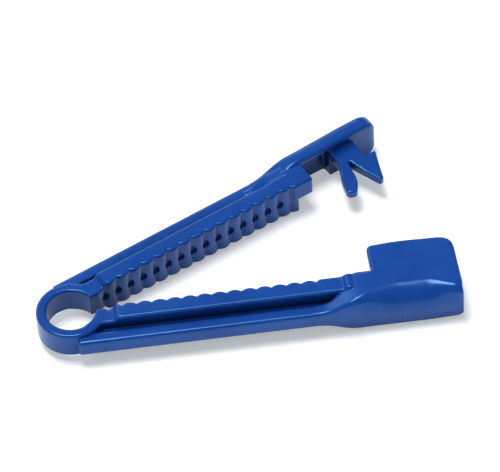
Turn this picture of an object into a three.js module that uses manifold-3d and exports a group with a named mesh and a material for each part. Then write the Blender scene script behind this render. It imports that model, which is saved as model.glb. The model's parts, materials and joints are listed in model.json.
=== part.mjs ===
// Ring-hinge locking clip: a one-piece plastic clamp with two toothed arms, a
// box-shaped catch head on one arm and a pair of spring prongs on the other.
// Units are millimetres, +Z is up, and the clip lies on its side on Z = 0.
//
// Each arm is drawn in its own frame: the two arms' tooth lines cross at 0, s
// runs along the line of the tooth tips, and t runs outwards, away from the
// other arm. The ring's centre is a little ahead of 0, halfway between the arms.
import * as THREE from 'three';
import { mergeVertices } from 'three/addons/utils/BufferGeometryUtils.js';
import Module from 'manifold-3d';

// ---- driving dimensions -------------------------------------------------
const CLIP_THICKNESS = 6.8;      // across the pads and the head, along Z
const MID_Z = CLIP_THICKNESS / 2;
const OPEN_ANGLE = 26.5;         // degrees between the tooth lines, as moulded
const GAP = 0.12;                // between neighbouring pieces of one moulding

const RING_INNER_R = 3.7;
const RING_OUTER_R = 5.2;
const RING_WIDTH = 4.3;          // along Z
const RING_BACK_SPAN = 26;       // degrees of ring that bends
const RING_OFFSET = 2.1;         // from the tooth lines' crossing to the ring's centre

const ARM_DEPTH = 5.7;           // tooth tips to the outer edge of the rib
const JAW_DEPTH = 2.8;           // tooth tips to the groove
const JAW_WIDTH = 5.8;
const JAW_ROOT_END = 8.4;        // the jaw is as narrow as the ring up to here
const TOOTH_PITCH = 2.2;
const TOOTH_DEPTH = 0.45;
const FIRST_TOOTH = 6.15;
const CATCH_TEETH_END = 38.35;
const LATCH_TEETH_END = 41.1;
const WEB_WIDTH = 1.3;
const RIB_WIDTH = 2.7;
const RIB_INNER = 3.6;           // t where the groove ends and the rib begins
const SPINE_START = 2.5;

const FLARE_START = 36.9;
const FLARE_END = 45.5;
const ARM_LENGTH = 59.2;
const LATCH_LENGTH = 59.0;

const NOSE_END = 42.4;
const NOSE_RISE = 0.25;          // how far the nose stands past the tooth tips
const PAD_INNER = 3.2;           // inner face of the latch pad
const PAD_OUTER = 6.4;           // its outer face leans out to here at its end
const RECESS = { start: 45.1, end: 50.2, depth: 5.1, top: 2.4 };
const NOSE_STEP_END = 44.9;      // the nose's upper part reaches further
const NOSE_STEP_BOTTOM = -0.3;   // from the middle plane

const HEAD_START = 42.6;         // where the head's plates meet the jaw
const PLATE_THICKNESS = 1.6;
const TOP_PLATE_START = 46.2;    // past the tooth line, the top plate starts here
const BOTTOM_PLATE_START = 43.5; // and the bottom plate reaches nearer the ring
const TOP_PLATE_INNER = -5.25;   // the top plate reaches further than the bottom one
const HEAD_INNER = -4.5;         // the head's open side
const HEAD_WALL_INNER = 4.25;    // inner face of its outer wall
const END_WALL = 1.6;
const LIP_DEPTH = 1.1;
const LIP_REACH = 1.6;
const NOTCH = { mouthStart: 48.0, mouthEnd: 54.6, topStart: 49.9, topEnd: 52.5, top: 0.5, ledge: -0.75 };

const PRONG_BOTTOM = -0.4;       // from the middle plane
const PRONG_TOP = 1.1;
const STEM_TOP = 1.5;
const PRONG_ROOT = 0.35;         // t where the prongs leave their stem
const STEM = { start: 50.5, end: 54.4 };
const PRONG_PARTING = 51.8;      // s where the two prongs part
const PRONG_REACH = -4.9;

const BLUE = 0x2552b4;
const ARC_POINTS = 10;

// ---- solids -------------------------------------------------------------
const wasm = await Module();
wasm.setup();

function toManifold(geometry) {
  const bare = geometry.clone();
  bare.deleteAttribute('normal');
  bare.deleteAttribute('uv');
  const merged = mergeVertices(bare, 1e-4);
  return new wasm.Manifold(new wasm.Mesh({
    numProp: 3,
    vertProperties: new Float32Array(merged.attributes.position.array),
    triVerts: new Uint32Array(merged.index.array),
  }));
}

function toGeometry(manifold) {
  const mesh = manifold.getMesh();
  const geometry = new THREE.BufferGeometry();
  geometry.setAttribute('position', new THREE.BufferAttribute(mesh.vertProperties, 3));
  geometry.setIndex(new THREE.BufferAttribute(mesh.triVerts, 1));
  geometry.computeVertexNormals();
  return geometry;
}

const cut = (a, b) => toGeometry(toManifold(a).subtract(toManifold(b)));
const common = (a, b) => toGeometry(toManifold(a).intersect(toManifold(b)));

// A plate whose outline lies in the s-t plane, between two heights.
function plate(shape, bottom, top) {
  const geometry = new THREE.ExtrudeGeometry(shape, {
    depth: top - bottom, bevelEnabled: false, curveSegments: ARC_POINTS,
  });
  return geometry.translate(0, 0, bottom);
}

// A plate centred on the clip's middle plane.
const middlePlate = (shape, width) => plate(shape, MID_Z - width / 2, MID_Z + width / 2);

// A wall whose outline lies in the s-Z plane, between two distances t.
function wall(shape, inner, outer) {
  const geometry = new THREE.ExtrudeGeometry(shape, {
    depth: outer - inner, bevelEnabled: false, curveSegments: ARC_POINTS,
  });
  return geometry.rotateX(Math.PI / 2).translate(0, outer, 0);
}

// A closed outline through corners [s, t, radius], each corner rounded.
function roundedShape(corners) {
  const shape = new THREE.Shape();
  corners.forEach(([s, t, radius = 0], i) => {
    const corner = new THREE.Vector2(s, t);
    const before = new THREE.Vector2(...corners.at(i - 1).slice(0, 2)).sub(corner).setLength(radius);
    const after = new THREE.Vector2(...corners[(i + 1) % corners.length].slice(0, 2)).sub(corner);
    after.setLength(radius);
    if (i === 0) shape.moveTo(s + before.x, t + before.y);
    else shape.lineTo(s + before.x, t + before.y);
    if (radius > 0) shape.quadraticCurveTo(s, t, s + after.x, t + after.y);
  });
  return shape;
}

// ---- outlines -----------------------------------------------------------
// Points along the row of teeth from one s to another; phase shifts the tips
// by a part of a pitch, so that the two arms' teeth interleave.
function toothLine(from, to, phase) {
  const steps = Math.round((to - from) / TOOTH_PITCH * 8);
  return Array.from({ length: steps + 1 }, (_, i) => {
    const s = from + (to - from) * i / steps;
    const turn = Math.PI * ((s - FIRST_TOOTH) / TOOTH_PITCH - phase);
    return new THREE.Vector2(s, TOOTH_DEPTH * (1 - Math.abs(Math.cos(turn)) ** 0.8));
  });
}

// The ring's centre in an arm's own frame.
const halfOpen = THREE.MathUtils.degToRad(OPEN_ANGLE / 2);
const ringCentre = new THREE.Vector2(RING_OFFSET * Math.cos(halfOpen), -RING_OFFSET * Math.sin(halfOpen));

// Half of the ring, with the narrow root of the jaw that grows out of it.
function ringHalfShape(phase) {
  const back = (360 - OPEN_ANGLE - RING_BACK_SPAN) / 2;
  const gapAngle = GAP / RING_OUTER_R;
  const end = THREE.MathUtils.degToRad(back) - gapAngle;
  const { x, y } = ringCentre;
  const frontAngle = Math.asin(-y / RING_INNER_R);
  const rootAngle = Math.asin((JAW_DEPTH - GAP - y) / RING_OUTER_R);
  const shape = new THREE.Shape();
  shape.absarc(x, y, RING_INNER_R, frontAngle, end, false);
  shape.absarc(x, y, RING_OUTER_R, end, rootAngle, true);
  shape.lineTo(JAW_ROOT_END, JAW_DEPTH - GAP);
  toothLine(FIRST_TOOTH, JAW_ROOT_END, phase).reverse().forEach((p) => shape.lineTo(p.x, p.y));
  shape.lineTo(FIRST_TOOTH, 0);
  return shape;
}

function ringBackShape() {
  const middle = Math.PI + halfOpen;
  const half = THREE.MathUtils.degToRad(RING_BACK_SPAN / 2);
  const shape = new THREE.Shape();
  shape.absarc(ringCentre.x, -ringCentre.y, RING_INNER_R, middle - half, middle + half, false);
  shape.absarc(ringCentre.x, -ringCentre.y, RING_OUTER_R, middle + half, middle - half, true);
  return shape;
}

function jawShape(phase, end) {
  const start = JAW_ROOT_END + GAP;
  const points = toothLine(start, end, phase);
  points.push(new THREE.Vector2(end, JAW_DEPTH), new THREE.Vector2(start, JAW_DEPTH));
  return new THREE.Shape(points);
}

// The arm's back: a thin web with a thicker rib on its outer edge, as one
// T-section along s, cut clear of the ring.
function spineGeometry() {
  const web = WEB_WIDTH / 2;
  const rib = RIB_WIDTH / 2;
  const soft = 0.5;
  const section = roundedShape([
    [JAW_DEPTH + GAP, -web], [RIB_INNER, -web], [RIB_INNER, -rib, soft],
    [ARM_DEPTH, -rib, soft], [ARM_DEPTH, rib, soft], [RIB_INNER, rib, soft],
    [RIB_INNER, web], [JAW_DEPTH + GAP, web],
  ]);
  const length = FLARE_START - GAP - SPINE_START;
  const bar = new THREE.ExtrudeGeometry(section, { depth: length, bevelEnabled: false, curveSegments: 4 });
  const along = new THREE.Matrix4().makeBasis(
    new THREE.Vector3(0, 1, 0), new THREE.Vector3(0, 0, 1), new THREE.Vector3(1, 0, 0));
  bar.applyMatrix4(along.setPosition(SPINE_START, 0, MID_Z));
  const clearance = new THREE.CylinderGeometry(RING_OUTER_R + GAP, RING_OUTER_R + GAP, CLIP_THICKNESS, 64);
  clearance.rotateX(Math.PI / 2).translate(ringCentre.x, ringCentre.y, MID_Z);
  return cut(bar, clearance);
}

// The pad seen from its outer face: as narrow as the rib at first, and
// flaring to the clip's full thickness.
function flareShape(end, corner) {
  const half = MID_Z;
  const narrow = RIB_WIDTH / 2;
  const bend = (FLARE_END - FLARE_START) / 2;
  const shape = new THREE.Shape();
  shape.moveTo(FLARE_START, MID_Z - narrow);
  shape.bezierCurveTo(FLARE_START + bend, MID_Z - narrow, FLARE_END - bend, MID_Z - half, FLARE_END, MID_Z - half);
  shape.lineTo(end - corner, MID_Z - half);
  shape.quadraticCurveTo(end, MID_Z - half, end, MID_Z - half + corner);
  shape.lineTo(end, MID_Z + half - corner);
  shape.quadraticCurveTo(end, MID_Z + half, end - corner, MID_Z + half);
  shape.lineTo(FLARE_END, MID_Z + half);
  shape.bezierCurveTo(FLARE_END - bend, MID_Z + half, FLARE_START + bend, MID_Z + narrow, FLARE_START, MID_Z + narrow);
  return shape;
}

// ---- catch arm ----------------------------------------------------------
function catchPadGeometry() {
  const outline = roundedShape([
    [FLARE_START, JAW_DEPTH + GAP], [HEAD_START - GAP, JAW_DEPTH + GAP], [HEAD_START - GAP, HEAD_WALL_INNER],
    [ARM_LENGTH, HEAD_WALL_INNER], [ARM_LENGTH, ARM_DEPTH, 0.9], [FLARE_START, ARM_DEPTH],
  ]);
  return common(plate(outline, -1, CLIP_THICKNESS + 1), wall(flareShape(ARM_LENGTH, 1.2), 0, ARM_DEPTH + 1));
}

function headTopPlateShape() {
  const back = HEAD_WALL_INNER - GAP;
  return roundedShape([
    [HEAD_START, back], [HEAD_START, 0.1], [TOP_PLATE_START, 0.1], [TOP_PLATE_START - 0.1, TOP_PLATE_INNER + 0.35, 0.9],
    [TOP_PLATE_START + 4.4, TOP_PLATE_INNER, 2], [ARM_LENGTH - 0.3, TOP_PLATE_INNER + 0.3, 2.2], [ARM_LENGTH, back],
  ]);
}

// The bottom plate is cut by a notch that opens to the head's open side.
function headBottomPlateShape() {
  const back = HEAD_WALL_INNER - GAP;
  return roundedShape([
    [HEAD_START, back], [HEAD_START, 0.1], [BOTTOM_PLATE_START, 0.1], [BOTTOM_PLATE_START, HEAD_INNER, 1.1],
    [NOTCH.mouthStart, HEAD_INNER, 0.5], [NOTCH.topStart, NOTCH.top, 0.3], [NOTCH.topEnd, NOTCH.top, 0.2],
    [NOTCH.topEnd + 0.3, NOTCH.ledge], [NOTCH.mouthEnd - 0.7, NOTCH.ledge], [NOTCH.mouthEnd, HEAD_INNER, 0.9],
    [ARM_LENGTH - 0.3, HEAD_INNER, 1.3], [ARM_LENGTH, back],
  ]);
}

function headRingWallShape() {
  return roundedShape([
    [HEAD_START, 0.1, 0.3], [TOP_PLATE_START, 0.1, 0.3],
    [TOP_PLATE_START, HEAD_WALL_INNER - GAP], [HEAD_START, HEAD_WALL_INNER - GAP],
  ]);
}

function headEndWallShape() {
  const outer = ARM_LENGTH - 0.2;
  return roundedShape([
    [outer - END_WALL, HEAD_INNER + LIP_DEPTH + GAP], [outer, HEAD_INNER + LIP_DEPTH + GAP],
    [outer, HEAD_WALL_INNER - GAP], [outer - END_WALL, HEAD_WALL_INNER - GAP],
  ]);
}

function catchLipShape() {
  const outer = ARM_LENGTH - 0.4;
  const inner = outer - END_WALL - LIP_REACH;
  return roundedShape([
    [inner, HEAD_INNER + LIP_DEPTH, 0.2], [inner + 0.3, HEAD_INNER + 0.2, 0.6],
    [outer, HEAD_INNER + 0.2, 0.7], [outer, HEAD_INNER + LIP_DEPTH],
  ]);
}

function smoothJawShape(teethEnd, end, rise, corner) {
  const start = teethEnd + GAP;
  return roundedShape([[start, 0], [end, -rise, corner], [end, JAW_DEPTH], [start, JAW_DEPTH]]);
}

const betweenPlates = (shape) => middlePlate(shape, CLIP_THICKNESS - 2 * (PLATE_THICKNESS + GAP));

const catchPieces = {
  catch_ring_half: middlePlate(ringHalfShape(0), RING_WIDTH),
  catch_spine: spineGeometry(),
  catch_jaw: middlePlate(jawShape(0, CATCH_TEETH_END), JAW_WIDTH),
  catch_jaw_end: middlePlate(smoothJawShape(CATCH_TEETH_END, HEAD_START - GAP, 0, 0), JAW_WIDTH),
  catch_pad: catchPadGeometry(),
  head_top_plate: plate(headTopPlateShape(), CLIP_THICKNESS - PLATE_THICKNESS, CLIP_THICKNESS),
  head_bottom_plate: plate(headBottomPlateShape(), 0, PLATE_THICKNESS),
  head_ring_wall: betweenPlates(headRingWallShape()),
  head_end_wall: betweenPlates(headEndWallShape()),
  head_catch_lip: betweenPlates(catchLipShape()),
};

// ---- latch arm ----------------------------------------------------------
function latchPadGeometry() {
  const outline = roundedShape([
    [FLARE_START, JAW_DEPTH + GAP], [NOSE_END + GAP, JAW_DEPTH + GAP], [NOSE_END + GAP, PAD_INNER],
    [LATCH_LENGTH, PAD_INNER + 0.2, 1.3], [LATCH_LENGTH, PAD_OUTER, 1.3], [FLARE_END, ARM_DEPTH + 0.3],
    [FLARE_START, ARM_DEPTH],
  ]);
  const pad = common(plate(outline, -1, CLIP_THICKNESS + 1), wall(flareShape(LATCH_LENGTH, 2), 0, PAD_OUTER + 1));
  const { start, end, depth, top } = RECESS;
  const recess = new THREE.BoxGeometry(end - start, depth, MID_Z + top + 1);
  recess.translate((start + end) / 2, depth / 2, (MID_Z + top - 1) / 2);
  return cut(pad, recess);
}

function noseStepGeometry() {
  const back = PAD_INNER - GAP;
  const start = NOSE_END + GAP;
  const outline = roundedShape([
    [start, -NOSE_RISE], [NOSE_STEP_END, -NOSE_RISE, 0.4], [NOSE_STEP_END, back], [start, back],
  ]);
  return plate(outline, MID_Z + NOSE_STEP_BOTTOM, MID_Z + JAW_WIDTH / 2);
}

function stemShape() {
  const back = PAD_INNER - GAP;
  const front = PRONG_ROOT + GAP;
  return roundedShape([[STEM.start, front], [STEM.end, front], [STEM.end + 0.3, back], [STEM.start - 0.2, back]]);
}

// A leaf-shaped blade that leans towards the ring.
function ringSideProngShape() {
  return roundedShape([
    [STEM.start - 0.2, PRONG_ROOT], [48.7, -2.4, 0.9], [48.3, PRONG_REACH + 0.6, 0.5], [49.7, PRONG_REACH, 0.4],
    [51.1, -3.0, 0.9], [PRONG_PARTING, PRONG_ROOT],
  ]);
}

// A barbed blade that leans towards the tip.
function tipSideProngShape() {
  return roundedShape([
    [PRONG_PARTING + GAP, PRONG_ROOT], [53.8, PRONG_REACH, 0.25], [54.5, PRONG_REACH + 0.1, 0.25],
    [56.4, 0.15, 0.15], [STEM.end, PRONG_ROOT],
  ]);
}

const latchPieces = {
  latch_ring_half: middlePlate(ringHalfShape(0.5), RING_WIDTH),
  latch_spine: spineGeometry(),
  latch_jaw: middlePlate(jawShape(0.5, LATCH_TEETH_END), JAW_WIDTH),
  latch_nose: middlePlate(smoothJawShape(LATCH_TEETH_END, NOSE_END, NOSE_RISE, 0.3), JAW_WIDTH),
  latch_pad: latchPadGeometry(),
  nose_step: noseStepGeometry(),
  prong_stem: plate(stemShape(), MID_Z + PRONG_BOTTOM, MID_Z + STEM_TOP),
  ring_side_prong: plate(ringSideProngShape(), MID_Z + PRONG_BOTTOM, MID_Z + PRONG_TOP),
  tip_side_prong: plate(tipSideProngShape(), MID_Z + PRONG_BOTTOM, MID_Z + PRONG_TOP),
};

// ---- assembly -----------------------------------------------------------
function addPieces(group, pieces, mirrored) {
  for (const [name, geometry] of Object.entries(pieces)) {
    const solid = mirrored ? mirror(geometry) : geometry;
    const material = new THREE.MeshStandardMaterial({ color: BLUE, roughness: 0.28, metalness: 0 });
    const mesh = new THREE.Mesh(solid, material);
    mesh.name = name;
    group.add(mesh);
  }
}

// The catch arm's t runs towards -Y, so its solids are mirrored, which also
// turns each triangle round to keep its face outwards.
function mirror(geometry) {
  const flipped = geometry.index ? geometry.toNonIndexed() : geometry.clone();
  flipped.scale(1, -1, 1);
  const position = flipped.attributes.position;
  const a = new THREE.Vector3();
  const b = new THREE.Vector3();
  for (let i = 0; i < position.count; i += 3) {
    a.fromBufferAttribute(position, i + 1);
    b.fromBufferAttribute(position, i + 2);
    position.setXYZ(i + 1, b.x, b.y, b.z);
    position.setXYZ(i + 2, a.x, a.y, a.z);
  }
  flipped.computeVertexNormals();
  return flipped;
}

const catchArm = new THREE.Group();
addPieces(catchArm, catchPieces, true);

const latchArm = new THREE.Group();
addPieces(latchArm, latchPieces, false);
latchArm.rotation.z = THREE.MathUtils.degToRad(OPEN_ANGLE);

const hinge = new THREE.Group();
addPieces(hinge, { ring_back: middlePlate(ringBackShape(), RING_WIDTH) }, false);

const clip = new THREE.Group();
clip.add(catchArm, latchArm, hinge);

// The origin is the middle of the clip's footprint, on the surface it lies on.
clip.updateMatrixWorld(true);
const box = new THREE.Box3().setFromObject(clip, true);
const middle = box.getCenter(new THREE.Vector3());
clip.position.set(-middle.x, -middle.y, -box.min.z);

export default clip;
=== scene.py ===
"""A ring-hinge locking clip, moulded in one piece of glossy blue plastic.

Each arm is shaped as a distance field in its own frame, in millimetres: the two arms' tooth lines cross
at 0, s runs along the line of the tooth tips, t runs outwards, away from the other arm, and z is measured
from the clip's middle plane. The field is turned into a mesh, cut into the pieces that ride on each body,
and put in place in the frame.
"""
import json
import math

import bmesh
import bpy
import numpy as np
from mathutils import Matrix, Vector


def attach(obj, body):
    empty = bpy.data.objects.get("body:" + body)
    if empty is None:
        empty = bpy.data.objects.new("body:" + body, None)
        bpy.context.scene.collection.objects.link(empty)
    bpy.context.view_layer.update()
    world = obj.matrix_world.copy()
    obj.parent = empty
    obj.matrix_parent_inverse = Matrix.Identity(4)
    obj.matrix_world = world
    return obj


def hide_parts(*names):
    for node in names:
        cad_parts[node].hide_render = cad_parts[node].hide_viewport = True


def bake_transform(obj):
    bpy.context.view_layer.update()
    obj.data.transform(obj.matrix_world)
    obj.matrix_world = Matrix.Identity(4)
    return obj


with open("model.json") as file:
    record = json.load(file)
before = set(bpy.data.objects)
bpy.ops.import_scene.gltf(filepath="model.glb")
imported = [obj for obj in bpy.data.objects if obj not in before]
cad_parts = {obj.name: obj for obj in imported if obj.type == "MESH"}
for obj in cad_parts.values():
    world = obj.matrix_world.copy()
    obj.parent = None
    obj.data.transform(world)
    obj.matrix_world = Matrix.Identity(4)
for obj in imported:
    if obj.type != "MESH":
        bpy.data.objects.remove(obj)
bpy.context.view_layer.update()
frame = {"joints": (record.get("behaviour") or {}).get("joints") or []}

MM = 0.001
HINGE = Vector(next(j["pos_m"] for j in frame["joints"] if j["name"] == "ring_hinge"))
OPEN_ANGLE = math.radians(26.5)
HALF_THICKNESS = 3.4

RING_INNER, RING_OUTER, RING_HALF = 3.7, 5.2, 2.15
RING_OFFSET = 2.1
RING_S, RING_T = RING_OFFSET * math.cos(OPEN_ANGLE / 2), -RING_OFFSET * math.sin(OPEN_ANGLE / 2)
ARM_ORIGIN = HINGE - Vector((RING_S, -RING_T, 0)) * MM
ARM_DEPTH, JAW_DEPTH, JAW_HALF = 5.7, 2.8, 2.9
TOOTH_PITCH, TOOTH_DEPTH, FIRST_TOOTH = 2.2, 0.45, 6.15
CATCH_TEETH_END, LATCH_TEETH_END = 38.35, 41.1
SPINE_START, WEB_HALF, RIB_HALF, RIB_INNER = 2.5, 0.65, 1.35, 3.6
FLARE_START, FLARE_END, ARM_LENGTH, LATCH_LENGTH = 36.9, 45.5, 59.2, 59.0
NOSE_END, NOSE_RISE, PAD_INNER, PAD_OUTER = 42.4, 0.25, 3.2, 6.4
RECESS_START, RECESS_END, NOSE_STEP_END = 45.0, 50.3, 44.9
HEAD_START, TOP_PLATE_START, BOTTOM_PLATE_START = 42.6, 46.2, 43.5
TOP_PLATE_INNER, HEAD_INNER, WALL_INNER = -5.25, -4.5, 4.25
PLATE_INNER = 1.8            # z of the plates' inner faces
PLATE_BACK = 5.6             # t where the plates end inside the outer wall
RING_BACK_HALF = math.radians(25)
ARM_CUT = 36.8               # s where an arm's bar and its end are separate meshes
PRONG_CUT = 0.3              # t where the prongs leave their stem
PRONG_PARTING = 51.82        # s between the two prongs

STEP = ((0.15, 0.115, 0.12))


# ---- distance fields ----------------------------------------------------
def both(a, b, r=0.0):
    """What is inside a and b, with the edge between them rounded to radius r."""
    if r == 0:
        return np.maximum(a, b)
    a, b = a + r, b + r
    return np.minimum(np.maximum(a, b), 0) + np.hypot(np.maximum(a, 0), np.maximum(b, 0)) - r


def either(a, b, r=0.0):
    """What is inside a or b, with a fillet of radius r between them."""
    return -both(-a, -b, r)


def less(a, b, r=0.0):
    """What is inside a and not inside b."""
    return both(a, -b, r)


def ramp(x, start, end):
    """A smooth rise from 0 at start to 1 at end."""
    k = np.clip((x - start) / (end - start), 0, 1)
    return k * k * (3 - 2 * k)


def rounded(corners, steps=5):
    """The points of a closed outline through corners (s, t, radius)."""
    points = []
    for i, (s, t, radius) in enumerate(corners):
        corner = np.array((s, t))
        sides = [np.array(corners[j][:2]) - corner for j in (i - 1, (i + 1) % len(corners))]
        if radius == 0:
            points.append(corner)
            continue
        a, b = (corner + side / np.linalg.norm(side) * radius for side in sides)
        for k in np.linspace(0, 1, steps):
            points.append(a * (1 - k) ** 2 + corner * 2 * k * (1 - k) + b * k * k)
    return points


def outline(corners, x, y):
    """Signed distance in a plane to a closed outline, negative inside."""
    points = rounded(corners)
    nearest = np.full(np.broadcast(x, y).shape, 1e9)
    inside = np.zeros(nearest.shape, bool)
    for (ax, ay), (bx, by) in zip(points, points[1:] + points[:1]):
        ex, ey = bx - ax, by - ay
        k = np.clip(((x - ax) * ex + (y - ay) * ey) / max(ex * ex + ey * ey, 1e-12), 0, 1)
        nearest = np.minimum(nearest, (x - ax - ex * k) ** 2 + (y - ay - ey * k) ** 2)
        if ay != by:
            inside ^= ((ay > y) != (by > y)) & (x < ax + ex * (y - ay) / (by - ay))
    return np.sqrt(nearest) * np.where(inside, -1, 1)


def grid(low, high):
    """Sample positions along s, t and z, as arrays that broadcast together."""
    axes = [np.arange(a, b + step, step) for a, b, step in zip(low, high, STEP)]
    return axes[0][:, None, None], axes[1][None, :, None], axes[2][None, None, :]


# ---- the arms -----------------------------------------------------------
def tooth_line(s, phase, teeth_end):
    turn = np.pi * ((s - FIRST_TOOTH) / TOOTH_PITCH - phase)
    wave = TOOTH_DEPTH * (1 - np.abs(np.cos(turn)) ** 0.8)
    return wave * ramp(s, FIRST_TOOTH - 0.6, FIRST_TOOTH) * ramp(s, teeth_end + 0.3, teeth_end - 0.1)


def pits(s, t, z, phase, teeth_end):
    """A small round pit on the middle plane in each valley between two teeth."""
    valley = FIRST_TOOTH + TOOTH_PITCH * (phase + 0.5)
    along = (s - valley + TOOTH_PITCH / 2) % TOOTH_PITCH - TOOTH_PITCH / 2
    ball = np.sqrt(along ** 2 + (t - 0.3) ** 2 + (z / 1.3) ** 2) - 0.55
    return both(ball, both(7.5 - s, s - teeth_end + 0.3))


def bar(s, t, z, phase, teeth_end, end, rise, widen):
    """Half of the ring, the toothed jaw that grows out of it, and the web and rib on the jaw's back."""
    radius = np.hypot(s - RING_S, t - RING_T)
    ring = both(both(radius - RING_OUTER, RING_INNER - radius), -t, 0.25)
    edge = tooth_line(s, phase, teeth_end) - rise * ramp(s, teeth_end, end)
    jaw = both(both(both(edge - t, t - JAW_DEPTH), 3.9 - s), RING_INNER - radius)
    flat = either(ring, jaw, 0.3)
    flat = both(flat, s - end, 0.45 if rise else 0)
    half = RING_HALF + (JAW_HALF - RING_HALF) * ramp(s, 7.9, 8.8)
    half = half + widen * ramp(s, HEAD_START - 0.9, HEAD_START)
    solid = less(both(flat, np.abs(z) - half, 0.32), pits(s, t, z, phase, teeth_end), 0.08)
    spine = both(s - (40.5 if rise else 42.5), SPINE_START - s)
    web = both(both(np.abs(z) - WEB_HALF, np.abs(t - 3.2) - 1.2), spine)
    web = both(web, RING_INNER + 0.4 - radius)
    across = np.abs(t - (RIB_INNER + ARM_DEPTH) / 2) - (ARM_DEPTH - RIB_INNER) / 2
    rib = both(both(np.abs(z) - RIB_HALF, across, 0.5), spine, 0.3)
    if rise:
        high = RIB_HALF + (JAW_HALF - 0.1 - RIB_HALF) * ramp(s, 36.0, 39.6)
        fill = both(np.abs(z) - high, both(np.abs(t - 3.4) - 1.2, np.abs(s - 39.5) - 3.9), 0.2)
        solid = either(solid, fill, 0.25)
    return either(solid, either(web, rib, 0.15), 0.18)


def flare(s, t, end, corner, inner):
    """Half of the pad's thickness, which grows from the rib's to the clip's and is rounded off at its end."""
    k = np.linspace(0, 1, 60)
    middle = (FLARE_START + FLARE_END) / 2
    along = FLARE_START * (1 - k) ** 3 + 3 * middle * k * (1 - k) + FLARE_END * k ** 3
    grown = 3 * (1 - k) * k ** 2 + k ** 3
    half = RIB_HALF + (HALF_THICKNESS - RIB_HALF) * np.interp(s, along, grown)
    past = np.clip((s - end) / corner + 1, 0, 1)
    return half - corner * (1 - np.sqrt(1 - past ** 2)) * ramp(t, inner, inner + 1.2)


def pad_skin(s, t, z, end, corner, inner, lean, crown, slope=0):
    """The outer face of a pad and its two rounded long edges, with fine moulded ribs across the grip."""
    ribs = 0.035 * np.cos(2 * np.pi * s / 0.62) * ramp(s, 46.0, 47.0) * ramp(s, 57.6, 56.8)
    ribs = ribs * ramp(np.abs(z), 2.5, 2.1)
    round_edge = 0.5 + 0.6 * ramp(s, 40, 46)
    outer = ARM_DEPTH + lean * np.clip((s - FLARE_START) / (end - FLARE_START), 0, 1)
    outer = outer + crown * (0.25 - (z / HALF_THICKNESS) ** 2) * ramp(s, 39, 46)
    outer = outer - crown * 0.6 * ramp(s, end - 6, end)
    high = np.clip((z + 1) / (HALF_THICKNESS + 1), 0, 1)
    outer = outer - slope * high ** 3 * ramp(s, 42, 50) * ramp(s, end - 0.6, end - 5.5)
    a, b = t - outer - ribs + round_edge, np.abs(z) - flare(s, t, end, corner, inner) + round_edge
    return np.minimum(np.maximum(a, b), 0) + np.hypot(np.maximum(a, 0), np.maximum(b, 0)) - round_edge


def catch_head(s, t, z):
    skin = pad_skin(s, t, z, ARM_LENGTH, 1.2, 3.4, 0.1, 0.3, 1.7)
    wall = both(skin, outline([
        (FLARE_START, RIB_INNER, 0), (39.6, RIB_INNER, 1), (41.2, 2.4, 0.5), (HEAD_START + 0.4, 2.4, 0),
        (HEAD_START + 0.4, WALL_INNER, 0), (ARM_LENGTH, WALL_INNER, 0), (ARM_LENGTH, ARM_DEPTH + 0.3, 0.9),
        (FLARE_START, ARM_DEPTH + 0.3, 0)], s, t), 0.4)
    top = outline([
        (HEAD_START, PLATE_BACK, 0), (HEAD_START, 0.0, 0.2), (TOP_PLATE_START, 0.0, 0.4),
        (TOP_PLATE_START - 0.1, TOP_PLATE_INNER + 0.35, 0.9), (TOP_PLATE_START + 4.4, TOP_PLATE_INNER, 2),
        (ARM_LENGTH - 0.3, TOP_PLATE_INNER + 0.3, 2.2), (ARM_LENGTH, PLATE_BACK, 0)], s, t)
    bottom = outline([
        (HEAD_START, PLATE_BACK, 0), (HEAD_START, 0.0, 0.2), (BOTTOM_PLATE_START, 0.0, 0.3),
        (BOTTOM_PLATE_START, HEAD_INNER, 1.1), (48.0, HEAD_INNER, 0.5), (49.9, 0.5, 0.3), (52.5, 0.5, 0.2),
        (52.8, -0.75, 0.15), (53.9, -0.75, 0.15), (54.6, HEAD_INNER, 0.9),
        (ARM_LENGTH - 0.3, HEAD_INNER, 1.3), (ARM_LENGTH, PLATE_BACK, 0)], s, t)
    top = both(both(top, z - HALF_THICKNESS, 0.45), PLATE_INNER - z, 0.2)
    bottom = both(both(bottom, -z - HALF_THICKNESS, 0.45), PLATE_INNER + z, 0.2)
    between = np.abs(z) - PLATE_INNER - 0.3
    ring_wall = outline([
        (HEAD_START, 0.0, 0.2), (TOP_PLATE_START, 0.0, 0.3), (TOP_PLATE_START, 5.0, 0),
        (HEAD_START, 5.0, 0)], s, t)
    end_wall = outline([(57.4, -3.4, 0), (59.0, -3.4, 0), (59.1, 5.0, 0), (57.4, 5.0, 0)], s, t)
    lip = outline([(55.6, -3.4, 0.2), (55.9, -4.3, 0.6), (58.8, -4.3, 0.7), (58.95, -3.2, 0)], s, t)
    walls = both(either(either(ring_wall, end_wall), lip, 0.2), between)
    plates = both(either(top, bottom), both(skin, t - ARM_DEPTH))
    return either(either(wall, walls, 0.3), plates)


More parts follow.
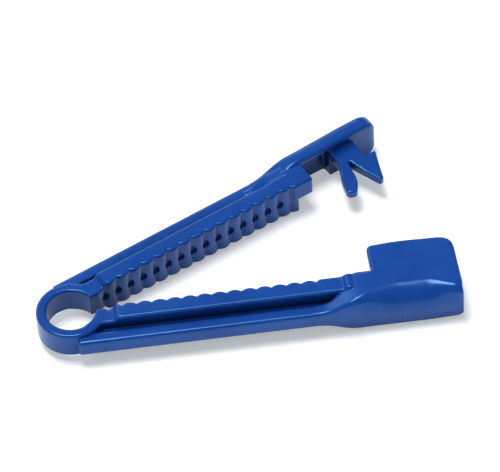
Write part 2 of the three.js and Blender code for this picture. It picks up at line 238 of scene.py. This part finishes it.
def latch_tail(s, t, z):
    body = outline([
        (FLARE_START, 2.4, 0), (NOSE_END, 2.4, 0), (NOSE_END + 0.1, PAD_INNER, 0),
        (LATCH_LENGTH, PAD_INNER + 0.2, 1.4), (LATCH_LENGTH, PAD_OUTER + 0.2, 1.4),
        (FLARE_START, PAD_OUTER + 0.2, 0)], s, t)
    pad = both(pad_skin(s, t, z, LATCH_LENGTH, 2.4, 1.0, PAD_OUTER - ARM_DEPTH + 0.1, 0.25), body, 0.45)
    recess = both(both(RECESS_START - s, s - RECESS_END), both(t - 5.1, z - 2.4), 0.3)
    pad = less(pad, recess, 0.15)
    step = outline([
        (41.5, -NOSE_RISE, 0), (NOSE_STEP_END, -NOSE_RISE, 0.4), (NOSE_STEP_END, 3.6, 0),
        (41.5, 3.6, 0)], s, t)
    step = both(step, np.abs(z - 1.3) - 1.6, 0.32)
    ring_side = outline([
        (50.3, 0.9, 0), (48.7, -2.4, 0.9), (48.3, -4.3, 0.6), (49.7, -4.9, 0.5), (51.1, -3.0, 0.9),
        (51.7, 0.45, 0.1), (51.7, 0.9, 0)], s, t)
    tip_side = outline([
        (51.95, 0.9, 0), (51.95, 0.45, 0.1), (53.8, -4.9, 0.25), (54.5, -4.8, 0.25), (56.4, 0.15, 0.15),
        (54.5, 0.38, 0.1), (54.5, 0.9, 0)], s, t)
    stem = outline([(50.4, 0.5, 0), (51.8, 0.5, 0.1), (54.5, 0.5, 0), (54.7, 4.0, 0), (50.3, 4.0, 0)], s, t)
    top = 1.0 + 0.5 * ramp(t, -2.5, 1.5)
    prongs = both(both(either(stem, either(ring_side, tip_side)), z - top, 0.22), -z - 0.4, 0.22)
    return either(either(pad, step, 0.2), prongs, 0.3)


# ---- field to mesh ------------------------------------------------------
def net(values, axes):
    """Vertices and quads on a sampled field's zero level, one vertex in each cell that it crosses."""
    shape = np.array(values.shape)
    cells = np.prod(shape - 1)
    stride = np.array([(shape[1] - 1) * (shape[2] - 1), shape[2] - 1, 1])
    sums, count, edges = np.zeros((3, cells)), np.zeros(cells), []
    for axis in range(3):
        a = np.take(values, range(shape[axis] - 1), axis)
        b = np.take(values, range(1, shape[axis]), axis)
        at = np.array(np.nonzero((a < 0) != (b < 0)))
        low, high = a[tuple(at)], b[tuple(at)]
        point = at.astype(float)
        point[axis] += low / (low - high)
        side = [k for k in range(3) if k != axis]
        corner = (stride[:, None] * at).sum(0)
        i, j = stride[side]
        around = [corner, corner - i, corner - i - j, corner - j]
        for ids in around:
            count += np.bincount(ids, minlength=cells)
            for k in range(3):
                sums[k] += np.bincount(ids, point[k], minlength=cells)
        quads = np.array(around)
        turned = (low < 0) != (axis == 1)
        edges.append(np.where(turned, quads, quads[::-1]).T)
    used = np.nonzero(count)[0]
    number = np.zeros(cells, int)
    number[used] = np.arange(len(used))
    points = (sums[:, used] / count[used]).T
    places = np.stack([np.interp(points[:, k], np.arange(shape[k]), axes[k].ravel()) for k in range(3)], 1)
    return places, number[np.concatenate(edges)]


def mesh_object(name, places, quads, share):
    mesh = bpy.data.meshes.new(name)
    mesh.from_pydata(places.tolist(), [], quads.tolist())
    o = bpy.data.objects.new(name, mesh)
    bpy.context.collection.objects.link(o)
    if share < 1:
        thin = o.modifiers.new("thin", "DECIMATE")
        thin.ratio = share
        o.data = bpy.data.meshes.new_from_object(o.evaluated_get(bpy.context.evaluated_depsgraph_get()))
        o.modifiers.clear()
    return o


def cut(o, point, normal, keep_above, where=None):
    """Cuts a closed mesh by a plane, keeps one side of it and closes the cut."""
    bm = bmesh.new()
    bm.from_mesh(o.data)
    faces = [f for f in bm.faces if where is None or where(f.calc_center_median())]
    geom = list({v for f in faces for v in f.verts}) + list({e for f in faces for e in f.edges}) + faces
    found = bmesh.ops.bisect_plane(bm, geom=geom, plane_co=point, plane_no=normal, dist=1e-7)
    rim = [e for e in found["geom_cut"] if isinstance(e, bmesh.types.BMEdge)]
    side = Vector(normal) * (1 if keep_above else -1)
    gone = [f for f in bm.faces if (where is None or where(f.calc_center_median()))
            and (f.calc_center_median() - Vector(point)).dot(side) < 0]
    bmesh.ops.delete(bm, geom=gone, context="FACES")
    rim = [e for e in rim if e.is_valid and len(e.link_faces) == 1]
    bmesh.ops.holes_fill(bm, edges=rim, sides=0)
    bmesh.ops.recalc_face_normals(bm, faces=bm.faces)
    bm.to_mesh(o.data)
    bm.free()


def copy_of(o, name):
    new = o.copy()
    new.data = o.data.copy()
    new.name = name
    bpy.context.collection.objects.link(new)
    return new


def place(o, mirrored, turn, origin=ARM_ORIGIN):
    """Puts a mesh made in an arm's own frame where that arm is, in metres."""
    flip = Matrix.Diagonal((1, -1 if mirrored else 1, 1, 1))
    turned = Matrix.Translation(origin) @ Matrix.Rotation(turn, 4, "Z")
    o.data.transform(turned @ Matrix.Scale(MM, 4) @ flip)
    if mirrored:
        o.data.flip_normals()
    o.data.shade_smooth()
    o.data.set_sharp_from_angle(angle=math.radians(55))


def arm_mesh(name, low, high, field):
    axes = grid(low, high)
    places, quads = net(np.broadcast_to(field(*axes), [a.size for a in axes]), axes)
    return mesh_object(name, places, quads, 0.5)


def catch_field(s, t, z):
    return either(bar(s, t, z, 0, CATCH_TEETH_END, 43.3, 0, 0.5), catch_head(s, t, z))


def latch_field(s, t, z):
    return either(bar(s, t, z, 0.5, LATCH_TEETH_END, NOSE_END, NOSE_RISE, 0), latch_tail(s, t, z))


def ring_field(s, t, z):
    radius = np.hypot(s, t)
    return both(both(radius - RING_OUTER, RING_INNER - radius), np.abs(z) - RING_HALF, 0.32)


def blue_plastic():
    """Glossy royal-blue plastic, uneven in tone, gloss and skin, with painted shade that makes it darker and
    duller in its hollows.
    """
    mat = bpy.data.materials.new("blue_plastic")
    mat.use_nodes = True
    nodes, links = mat.node_tree.nodes, mat.node_tree.links
    shader = nodes["Principled BSDF"]
    shader.inputs["IOR"].default_value = 1.49
    shader.inputs["Specular Tint"].default_value = (0.3, 0.66, 1.0, 1)
    where = nodes.new("ShaderNodeTexCoord")

    def noise(scale, detail):
        node = nodes.new("ShaderNodeTexNoise")
        node.inputs["Scale"].default_value = scale
        node.inputs["Detail"].default_value = detail
        links.new(where.outputs["Object"], node.inputs["Vector"])
        return node.outputs["Fac"]

    # Painted shade: ambient occlusion within 6 mm darkens the base colour and dims the gloss in hollows and
    # creases.
    depth = nodes.new("ShaderNodeAmbientOcclusion")
    depth.samples = 8
    depth.inputs["Distance"].default_value = 0.006
    shade = nodes.new("ShaderNodeMapRange")
    shade.inputs["From Min"].default_value, shade.inputs["From Max"].default_value = 0.2, 0.85
    shade.inputs["To Min"].default_value, shade.inputs["To Max"].default_value = 0.22, 1.0
    links.new(depth.outputs["AO"], shade.inputs["Value"])
    # The gloss level is 0.6, dimmed by the painted shade where the surface is occluded.
    specular_under_painted_shade = nodes.new("ShaderNodeMath")
    specular_under_painted_shade.operation = "MULTIPLY"
    specular_under_painted_shade.inputs[1].default_value = 0.6
    links.new(shade.outputs["Result"], specular_under_painted_shade.inputs[0])
    links.new(specular_under_painted_shade.outputs["Value"], shader.inputs["Specular IOR Level"])

    tone = nodes.new("ShaderNodeValToRGB")
    tone.color_ramp.elements[0].position, tone.color_ramp.elements[1].position = 0.35, 0.65
    tone.color_ramp.elements[0].color = (0.0040, 0.046, 0.28, 1)
    tone.color_ramp.elements[1].color = (0.0070, 0.062, 0.34, 1)
    links.new(noise(90, 2), tone.inputs["Fac"])
    # Painted shade: the base colour is scaled down where the surface is occluded.
    painted_shade_colour = nodes.new("ShaderNodeVectorMath")
    painted_shade_colour.operation = "SCALE"
    links.new(tone.outputs["Color"], painted_shade_colour.inputs[0])
    links.new(shade.outputs["Result"], painted_shade_colour.inputs["Scale"])
    links.new(painted_shade_colour.outputs["Vector"], shader.inputs["Base Color"])

    gloss = nodes.new("ShaderNodeMapRange")
    gloss.inputs["From Min"].default_value, gloss.inputs["From Max"].default_value = 0.3, 0.7
    gloss.inputs["To Min"].default_value, gloss.inputs["To Max"].default_value = 0.17, 0.26
    links.new(noise(240, 4), gloss.inputs["Value"])
    links.new(gloss.outputs["Result"], shader.inputs["Roughness"])

    skin = nodes.new("ShaderNodeBump")
    skin.inputs["Strength"].default_value = 0.25
    skin.inputs["Distance"].default_value = 0.00006
    links.new(noise(420, 3), skin.inputs["Height"])
    links.new(skin.outputs["Normal"], shader.inputs["Normal"])
    return mat


# ---- the pieces ---------------------------------------------------------
PLASTIC = blue_plastic()


def finish_piece(o, nodes, body=None, blend=None):
    o.data.materials.clear()
    o.data.materials.append(PLASTIC)
    if blend:
        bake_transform(o)
    else:
        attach(o, body)
    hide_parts(*nodes)


def split_off_bar(whole, name):
    """Cuts the ring's back and the end of the arm off a whole arm, and returns the bar and the end."""
    turn = math.pi - OPEN_ANGLE / 2 - RING_BACK_HALF
    cut(whole, (RING_S, RING_T, 0), (math.sin(turn), -math.cos(turn), 0), True)
    end = copy_of(whole, name)
    cut(whole, (ARM_CUT, 0, 0), (1, 0, 0), False)
    cut(end, (ARM_CUT, 0, 0), (1, 0, 0), True)
    return whole, end


def keep_where(o, wanted):
    """Keeps the loose parts of a mesh whose middle is where it is wanted."""
    bm = bmesh.new()
    bm.from_mesh(o.data)
    left = set(bm.verts)
    while left:
        stack, part = [left.pop()], []
        while stack:
            part.append(stack.pop())
            near = {e.other_vert(part[-1]) for e in part[-1].link_edges} & left
            left -= near
            stack.extend(near)
        if not wanted(sum((v.co for v in part), Vector()) / len(part)):
            bmesh.ops.delete(bm, geom=part, context="VERTS")
    bm.to_mesh(o.data)
    bm.free()


def near_prongs(p):
    """Whether a point is near the prongs, and not at the nose or on the pad."""
    return p.x > 46.8 and p.y < 1.5


catch_bar, head = split_off_bar(
    arm_mesh("catch_arm_bar", (-3.8, -5.9, -3.9), (59.9, 6.5, 3.9), catch_field), "catch_head")
for piece in (catch_bar, head):
    place(piece, True, 0)
finish_piece(catch_bar, ["catch_ring_half", "catch_spine", "catch_jaw"], "catch_arm")
finish_piece(head, ["catch_jaw_end", "catch_pad", "head_top_plate", "head_bottom_plate", "head_ring_wall",
                    "head_end_wall", "head_catch_lip"], "catch_arm")

latch_bar, tail = split_off_bar(
    arm_mesh("latch_arm_bar", (-3.8, -5.5, -3.9), (59.7, 7.2, 3.9), latch_field), "latch_pad_and_stem")
ring_side = copy_of(tail, "ring_side_prong_blade")
cut(tail, (0, PRONG_CUT, 0), (0, 1, 0), True, near_prongs)
cut(ring_side, (0, PRONG_CUT, 0), (0, 1, 0), False)
tip_side = copy_of(ring_side, "tip_side_prong_blade")
keep_where(ring_side, lambda p: 47 < p.x < PRONG_PARTING)
keep_where(tip_side, lambda p: p.x > PRONG_PARTING)
for piece in (latch_bar, tail, ring_side, tip_side):
    place(piece, False, OPEN_ANGLE)
finish_piece(latch_bar, ["latch_ring_half", "latch_spine", "latch_jaw"], "latch_arm")
finish_piece(tail, ["latch_nose", "latch_pad", "nose_step", "prong_stem"], "latch_arm")


def latch_point(s, t):
    return ARM_ORIGIN + Matrix.Rotation(OPEN_ANGLE, 3, "Z") @ (Vector((s, t, 0)) * MM)


for blade, body in ((ring_side, "ring_side_prong"), (tip_side, "tip_side_prong")):
    root, bent = latch_point(52, PRONG_CUT), latch_point(52, -1.2)
    finish_piece(blade, [body], blend=("latch_arm", body, root, bent))

ring_back = arm_mesh("ring_back_bend", (-5.8, -5.8, -2.6), (5.8, 5.8, 2.6), ring_field)
cut(ring_back, (0, 0, 0), (-math.sin(RING_BACK_HALF), -math.cos(RING_BACK_HALF), 0), True)
cut(ring_back, (0, 0, 0), (-math.sin(RING_BACK_HALF), math.cos(RING_BACK_HALF), 0), True)
place(ring_back, False, OPEN_ANGLE / 2, HINGE)
half_width = RING_INNER * math.sin(RING_BACK_HALF) * MM
across = Matrix.Rotation(OPEN_ANGLE / 2, 3, "Z") @ Vector((0, half_width, 0))
finish_piece(ring_back, ["ring_back"], blend=("catch_arm", "latch_arm", HINGE - across, HINGE + across))


# ---- floor, light and camera --------------------------------------------
def look_from(position, aim, up_hint, lens):
    data = bpy.data.cameras.new("camera")
    camera = bpy.data.objects.new("camera", data)
    bpy.context.collection.objects.link(camera)
    ahead = (aim - position).normalized()
    right = ahead.cross(up_hint).normalized()
    up = right.cross(ahead)
    camera.matrix_world = Matrix.Translation(position) @ Matrix((right, up, -ahead)).transposed().to_4x4()
    data.sensor_width, data.lens = 36, lens
    data.clip_start, data.clip_end = 0.01, 20
    bpy.context.scene.camera = camera


def area_light(name, position, aim, size, power, color=(1, 1, 1)):
    data = bpy.data.lights.new(name, "AREA")
    data.shape = "RECTANGLE"
    data.size, data.size_y, data.energy, data.color = size[0], size[1], power, color
    light = bpy.data.objects.new(name, data)
    light.location = position
    light.rotation_mode = "QUATERNION"
    light.rotation_quaternion = (Vector(aim) - Vector(position)).to_track_quat("-Z", "Y")
    bpy.context.collection.objects.link(light)


def floor():
    mesh = bpy.data.meshes.new("floor")
    far = 2.0
    mesh.from_pydata([(-far, -far, 0), (far, -far, 0), (far, far, 0), (-far, far, 0)], [], [(0, 1, 2, 3)])
    o = bpy.data.objects.new("floor", mesh)
    o.location.z = -0.00002
    bpy.context.collection.objects.link(o)
    mat = bpy.data.materials.new("pale_floor")
    mat.use_nodes = True
    shader = mat.node_tree.nodes["Principled BSDF"]
    shader.inputs["Base Color"].default_value = (0.9, 0.9, 0.9, 1)
    shader.inputs["Roughness"].default_value = 0.7
    shader.inputs["Emission Color"].default_value = (0.97, 0.99, 1.0, 1)
    shader.inputs["Emission Strength"].default_value = 0.38
    o.data.materials.append(mat)


floor()
area_light("key", (-0.12, 0.12, 0.80), (0, 0, 0), (0.32, 0.32), 5.2)
area_light("back", (-0.25, 0.75, 0.55), (0, 0, 0), (0.7, 0.35), 1.8, (0.8, 0.95, 1.0))
area_light("front_left", (-0.5, -0.5, 0.16), (0, 0, 0), (0.3, 0.2), 0.45, (0.4, 0.95, 1.0))
world = bpy.data.worlds.new("studio")
world.use_nodes = True
world.node_tree.nodes["Background"].inputs["Color"].default_value = (0.85, 0.95, 1.0, 1)
world.node_tree.nodes["Background"].inputs["Strength"].default_value = 0.27
bpy.context.scene.world = world
bpy.context.scene.view_settings.view_transform = "Standard"

look_from(HINGE + Vector((-0.00665, -0.45227, 0.52675)), HINGE + Vector((0.02774, 0.01191, 0)),
          Vector((0.1216, 0.7606, 0.6377)), 341.1936)
